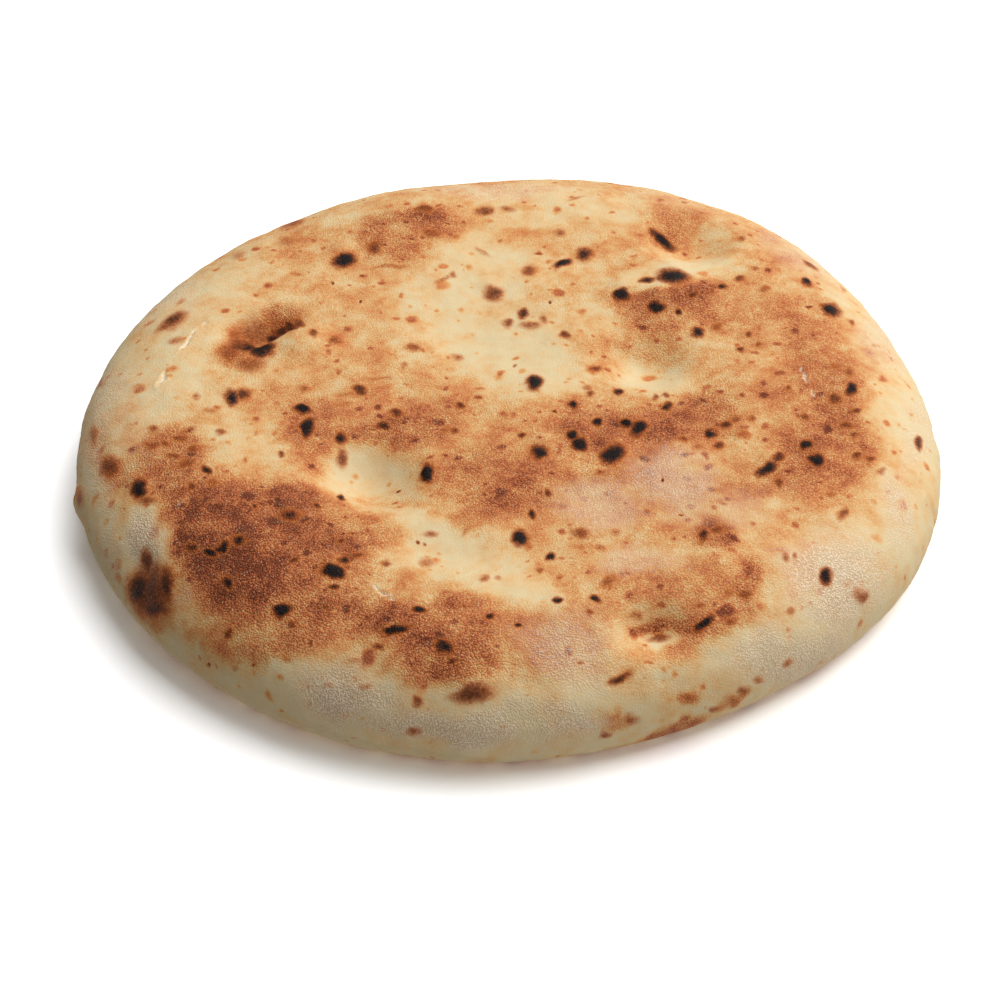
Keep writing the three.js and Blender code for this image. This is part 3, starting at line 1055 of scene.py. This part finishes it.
@dataclass
class Loaf:
    """The focaccia: one piece of crust over the whole loaf, which stands for the CAD solid."""

    camera: PhotoCamera
    finish: CrustFinish
    node: str = "focaccia"
    name: str = "focaccia_crust"
    slot: str = "crust"

    # Mesh
    merge_mm: float = 0.01  # distance below which the solid's points are merged
    table_mm: float = 0.1  # height below which a point lies on the table
    subdivisions: int = 2
    split_mark: float = 1.3  # reach of a scorch within which the mesh is made finer
    split_tear: float = 1.8  # reach of a tear within which it is
    soft_mark_mm: float = 3.4  # half size above which a scorch's edge is soft enough for the mesh as it is

    # Uneven edges, of scorches and tears, of patches, and of large patches as well
    fray: tuple[Drift, ...] = (Drift(6.0, 1.2, 5.1), Drift(2.4, 0.7, 17.9))
    ragged: tuple[Drift, ...] = (Drift(9.0, 2.4, 11.3), Drift(3.0, 1.4, 23.1))
    wander: tuple[Drift, ...] = (Drift(26.0, 8.0, 3.7),)
    small_mark_mm: float = 13.0  # half size below which a patch keeps its place, and only its edge is uneven

    # Stains, some of which are painted light, shade and sheen
    top_toast: float = 0.34  # how far the top is baked between its patches
    side_toast: float = 0.2  # share of that on the loaf's side
    top_facing: tuple[float, float] = (0.6, 0.96)  # upward facing at which the side ends, and the top starts
    base_facing: tuple[float, float] = (-0.55, -0.9)  # the same for the side and the underside
    toasted_and_painted_shade_fade: Fade = Fade(1.5, 0.2)
    browned_and_painted_shade_fade: Fade = Fade(1.4, 0.45)
    pale_and_painted_light_fade: Fade = Fade(1.5, 0.3)
    floured_and_painted_sheen_fade: Fade = Fade(1.4, 0.4)
    scorch_and_painted_shade_fade: Fade = Fade(1.55, 0.1)
    burn_fade: Fade = Fade(1.7, 0.25)
    speck_fade: Fade = Fade(1.6, 0.6)
    crumb_fade: Fade = Fade(1.0, 0.6)
    crumb_gaps: Lumps = Lumps(2.0, 1.2, 53.0)  # what breaks a tear's crumb up, added to the reach

    # Relief
    lumps: tuple[Lumps, ...] = (  # with swings in mm
        Lumps(18.0, 0.45, 31.0), Lumps(6.0, 0.2, 38.0), Lumps(2.2, 0.08, 45.0),
    )
    blister_rise: float = 0.14  # height of a scorched blister, as a share of its half size
    blister_fade: Fade = Fade(1.25, 0.0)
    lip_rise: float = 0.35  # height of a tear's lips, as a share of its depth
    lip_fade: Fade = Fade(1.6, 0.7)
    slit_fade: Fade = Fade(0.8, 0.1)
    base_clear_mm: float = 5.0  # height over the table below which the relief fades out

    def build(self) -> bpy.types.Object:
        """Makes the crust, works its relief in and dresses it.

        Returns:
            The crust's object.
        """
        noise.seed_set(NOISE_SEED)
        crust = self.subdivided()
        laid = CrustSurface(crust, self.camera).lay_all()
        self.refine(crust, laid)
        points, normals = read_mesh(crust.data)
        self.stain(crust.data, points, normals, laid)
        self.raise_relief(crust.data, points, normals, laid)
        crust.data.materials.clear()
        crust.data.materials.append(self.finish.build())
        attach(crust, "root")
        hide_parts(self.node)
        return crust

    def subdivided(self) -> bpy.types.Object:
        """Makes a merged, subdivided copy of the CAD loaf.

        Returns:
            The copy's object.
        """
        crust = bpy.data.objects.new(self.name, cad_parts[self.node].data.copy())
        bpy.context.scene.collection.objects.link(crust)
        bpy.ops.object.select_all(action="DESELECT")
        crust.select_set(True)
        bpy.context.view_layer.objects.active = crust
        bpy.ops.mesh.customdata_custom_splitnormals_clear()
        bpy.ops.object.mode_set(mode="EDIT")
        bpy.ops.mesh.select_all(action="SELECT")
        bpy.ops.mesh.remove_doubles(threshold=self.merge_mm * MM)
        bpy.ops.mesh.tris_convert_to_quads(face_threshold=math.pi, shape_threshold=math.pi)
        bpy.ops.object.mode_set(mode="OBJECT")
        self.crease_base(crust.data)
        bpy.ops.object.modifier_add(type="SUBSURF")
        crust.modifiers[0].levels = crust.modifiers[0].render_levels = self.subdivisions
        bpy.ops.object.modifier_apply(modifier=crust.modifiers[0].name)
        bpy.ops.object.shade_smooth()
        bpy.context.view_layer.update()
        return crust

    def crease_base(self, mesh: bpy.types.Mesh) -> None:
        """Creases the edges that lie on the table, so that the base stays flat up to its rim.

        Args:
            mesh: The merged copy of the loaf.
        """
        heights = np.array([vertex.co.z for vertex in mesh.vertices])
        ends = np.array([edge.vertices[:] for edge in mesh.edges])
        on_table = heights[ends].max(axis=1) < self.table_mm * MM
        crease = mesh.attributes.new("crease_edge", "FLOAT", "EDGE")
        crease.data.foreach_set("value", on_table.astype(np.float32))

    def refine(self, crust: bpy.types.Object, laid: LaidMarks) -> None:
        """Splits the faces round small scorches and tears, so that their edges can be sharp.

        Args:
            crust: The subdivided crust.
            laid: The laid marks.
        """
        mesh = crust.data
        middles = np.empty(len(mesh.polygons) * 3, np.float32)
        mesh.polygons.foreach_get("center", middles)
        middles = middles.reshape(-1, 3).astype(float)
        chosen = np.zeros(len(middles), bool)
        for mark in laid.scorches + laid.burns:
            if mark.half_size < self.soft_mark_mm * MM:
                chosen |= mark.reach(middles) < self.split_mark
        frayed = drifted(middles, self.fray)
        for tear in laid.tears:
            chosen |= tear.reach(frayed) < self.split_tear
        bpy.ops.object.mode_set(mode="EDIT")
        bpy.ops.mesh.select_mode(type="FACE")
        bpy.ops.mesh.select_all(action="DESELECT")
        bpy.ops.object.mode_set(mode="OBJECT")
        mesh.polygons.foreach_set("select", chosen)
        bpy.ops.object.mode_set(mode="EDIT")
        bpy.ops.mesh.subdivide(number_cuts=1)
        bpy.ops.object.mode_set(mode="OBJECT")

    def stain(self, mesh: bpy.types.Mesh, points: np.ndarray, normals: np.ndarray, laid: LaidMarks) -> None:
        """Writes the stains as vertex attributes.

        Args:
            mesh: The crust's mesh.
            points: Its points.
            normals: Its normals.
            laid: The laid marks.
        """
        ragged = drifted(points, self.ragged)
        loose = drifted(ragged, self.wander)
        amounts = {
            Stain.TOAST_AND_PAINTED_LIGHT_AND_SHADE: self.toast(ragged, loose, normals, laid),
            Stain.SCORCH_AND_PAINTED_SHADE: self.scorch(points, laid),
            Stain.FLOUR_AND_PAINTED_SHEEN: self.flour(loose, laid),
            Stain.CRUMB: self.crumb(points, laid),
            Stain.UNDERSIDE: smooth_step(*self.base_facing, normals[:, 2]),
        }
        for stain, amount in amounts.items():
            attribute = mesh.attributes.new(stain.value, "FLOAT", "POINT")
            attribute.data.foreach_set("value", amount.astype(np.float32))

    def toast(
        self, ragged: np.ndarray, loose: np.ndarray, normals: np.ndarray, laid: LaidMarks
    ) -> np.ndarray:
        """Works out how far the crust is toasted, with painted shade in two hollows, and painted light and
        sheen where pale marks lighten lit lips and the rim.

        Args:
            ragged: The crust's points, drifted for small patches.
            loose: The crust's points, drifted for large patches.
            normals: The crust's normals.
            laid: The laid marks.

        Returns:
            One value for each point.
        """
        bare = np.ones(len(loose))
        for mark in laid.toasted:
            bare *= 1.0 - mark.strength * self.toasted_and_painted_shade_fade.at(mark.reach(loose))
        for mark in laid.browned:
            places = ragged if mark.half_size < self.small_mark_mm * MM else loose
            bare *= 1.0 - mark.strength * self.browned_and_painted_shade_fade.at(mark.reach(places))
        up = smooth_step(*self.top_facing, normals[:, 2])
        toast = 1.0 - bare * (1.0 - self.top_toast * (self.side_toast + (1.0 - self.side_toast) * up))
        for mark in laid.pale:
            places = ragged if mark.half_size < self.small_mark_mm * MM else loose
            toast *= 1.0 - mark.strength * self.pale_and_painted_light_fade.at(mark.reach(places))
        return toast

    def scorch(self, points: np.ndarray, laid: LaidMarks) -> np.ndarray:
        """Works out how far the crust is scorched, with one painted shadow in the pit at the front right.

        Args:
            points: The crust's points.
            laid: The laid marks.

        Returns:
            One value for each point.
        """
        frayed = drifted(points, self.fray)
        scorch = np.zeros(len(points))
        for mark in laid.scorches:
            scorch = np.maximum(scorch, mark.depth * self.scorch_and_painted_shade_fade.at(mark.reach(frayed)))
        for mark in laid.burns:
            scorch = np.maximum(scorch, mark.strength * self.burn_fade.at(mark.reach(frayed)))
        for mark in laid.specks:
            scorch = np.maximum(scorch, mark.strength * self.speck_fade.at(mark.reach(points)))
        return np.minimum(scorch, 1.0)

    def flour(self, loose: np.ndarray, laid: LaidMarks) -> np.ndarray:
        """Works out how much flour clings to the crust, and where painted sheen lightens the rim.

        Args:
            loose: The crust's points, drifted for large patches.
            laid: The laid marks.

        Returns:
            One value for each point.
        """
        flour = np.zeros(len(loose))
        for mark in laid.floured_and_painted_sheen:
            flour = np.maximum(flour, mark.strength * self.floured_and_painted_sheen_fade.at(mark.reach(loose)))
        return flour

    def crumb(self, points: np.ndarray, laid: LaidMarks) -> np.ndarray:
        """Works out where torn crumb shows.

        Args:
            points: The crust's points.
            laid: The laid marks.

        Returns:
            One value for each point.
        """
        frayed = drifted(points, self.fray)
        gaps = np.abs(self.crumb_gaps.at(points))
        crumb = np.zeros(len(points))
        for tear in laid.tears:
            crumb = np.maximum(crumb, self.crumb_fade.at(tear.reach(frayed) + gaps))
        return crumb

    def raise_relief(
        self, mesh: bpy.types.Mesh, points: np.ndarray, normals: np.ndarray, laid: LaidMarks
    ) -> None:
        """Moves the crust's points out and in along its facing.

        Args:
            mesh: The crust's mesh.
            points: Its points.
            normals: Its normals.
            laid: The laid marks.
        """
        rise = np.zeros(len(points))
        for lumps in self.lumps:
            rise += lumps.at(points) * MM
        frayed = drifted(points, self.fray)
        for mark in laid.scorches:
            dome = self.blister_fade.at(mark.reach(frayed))
            rise += dome * self.blister_rise * mark.strength * mark.half_size
        for tear in laid.tears:
            away = tear.reach(frayed)
            lips = self.lip_rise * self.lip_fade.at(away)
            slit = (1.0 + self.lip_rise) * self.slit_fade.at(away)
            rise += (lips - slit) * tear.depth_mm * MM
        rise *= smooth_step(0.0, self.base_clear_mm * MM, points[:, 2])
        moved = points + normals * rise[:, None]
        moved[:, 2] = np.maximum(moved[:, 2], 0.0)
        mesh.vertices.foreach_set("co", moved.astype(np.float32).ravel())
        mesh.update()


@dataclass
class Studio:
    """A white table under a large, high light from the back right, in a soft surround."""

    table_size: float = 6.0  # metres
    table_gain: float = 1.42  # brighter than white, as an over-exposed backdrop is
    key_bearing_deg: float = 40.0  # way that the key light comes from, from +X towards +Y
    key_elevation_deg: float = 60.0
    key_distance: float = 2.0  # metres
    key_size: float = 2.4  # metres
    key_watts: float = 58.0
    surround_bearing_deg: float = -15.0  # way towards the bright side of the surround
    surround_light: tuple[float, float] = (0.1, 0.72)  # on the surround's dim side, and on its bright side
    surround_shares: tuple[float, float] = (1.3, 0.8)  # of that light, under the horizon and over it
    horizon_blur: float = 0.1  # how far under and over the horizon those shares are reached

    def build(self) -> None:
        """Adds the table, the key light and the surround."""
        self.table()
        self.key()
        self.surround()
        bpy.context.scene.view_settings.view_transform = "Standard"

    def towards(self, bearing_deg: float, elevation_deg: float) -> Vector:
        """Works out a direction.

        Args:
            bearing_deg: Its bearing, from +X towards +Y.
            elevation_deg: Its elevation.

        Returns:
            The direction, of length 1.
        """
        bearing, elevation = math.radians(bearing_deg), math.radians(elevation_deg)
        level = math.cos(elevation)
        return Vector((level * math.cos(bearing), level * math.sin(bearing), math.sin(elevation)))

    def table(self) -> None:
        """Adds the table's top, matte white board with no gloss or grain to show.

        It sends no light back up, so that the surround alone sets how dark the loaf's side is.
        """
        bpy.ops.object.select_all(action="DESELECT")
        bpy.ops.mesh.primitive_plane_add(size=self.table_size)
        table = bpy.context.active_object
        table.name = "table_top"
        table.visible_diffuse = False
        material = bpy.data.materials.new("matte_white_board")
        material.use_nodes = True
        tree = material.node_tree
        tree.nodes.clear()
        white = add_node(tree, "BsdfDiffuse", {"Color": (self.table_gain,) * 3 + (1.0,)})
        add_node(tree, "OutputMaterial", {"Surface": white.outputs["BSDF"]})
        table.data.materials.append(material)

    def key(self) -> None:
        """Adds the key light."""
        data = bpy.data.lights.new("key_light", "AREA")
        data.size = self.key_size
        data.energy = self.key_watts
        key = bpy.data.objects.new("key_light", data)
        way = self.towards(self.key_bearing_deg, self.key_elevation_deg)
        key.location = way * self.key_distance
        key.rotation_euler = way.to_track_quat("Z", "Y").to_euler()
        bpy.context.scene.collection.objects.link(key)

    def surround(self) -> None:
        """Adds the surround, brighter on one side, and brighter under the horizon than over it."""
        world = bpy.data.worlds.new("studio")
        world.use_nodes = True
        tree = world.node_tree
        tree.nodes.clear()
        way = add_node(tree, "TexCoord").outputs["Generated"]
        bright_side = self.towards(self.surround_bearing_deg, 0.0)
        side = add_node(tree, "VectorMath", {0: way, 1: bright_side}, operation="DOT_PRODUCT")
        dim, bright = self.surround_light
        light = add_node(
            tree,
            "MapRange",
            {"Value": side.outputs["Value"], "From Min": -1.0, "To Min": dim, "To Max": bright},
        )
        parts = add_node(tree, "SeparateXYZ", {0: way})
        under, over = self.surround_shares
        share = add_node(
            tree,
            "MapRange",
            {
                "Value": parts.outputs["Z"],
                "From Min": -self.horizon_blur,
                "From Max": self.horizon_blur,
                "To Min": under,
                "To Max": over,
            },
        )
        strength = add_node(
            tree, "Math", {0: light.outputs["Result"], 1: share.outputs["Result"]}, operation="MULTIPLY"
        )
        background = add_node(
            tree, "Background", {"Color": linear_rgb("#ffffff"), "Strength": strength.outputs[0]}
        )
        add_node(tree, "OutputWorld", {"Surface": background.outputs["Background"]})
        bpy.context.scene.world = world


def main() -> None:
    """Builds the camera, the loaf and the studio."""
    logging.basicConfig(level=logging.INFO)
    camera = PhotoCamera()
    camera.build()
    crust = Loaf(camera, CrustFinish()).build()
    crust.data.calc_loop_triangles()
    LOG.info("%s: %d triangles", crust.name, len(crust.data.loop_triangles))
    Studio().build()


if __name__ == "__main__":
    main()
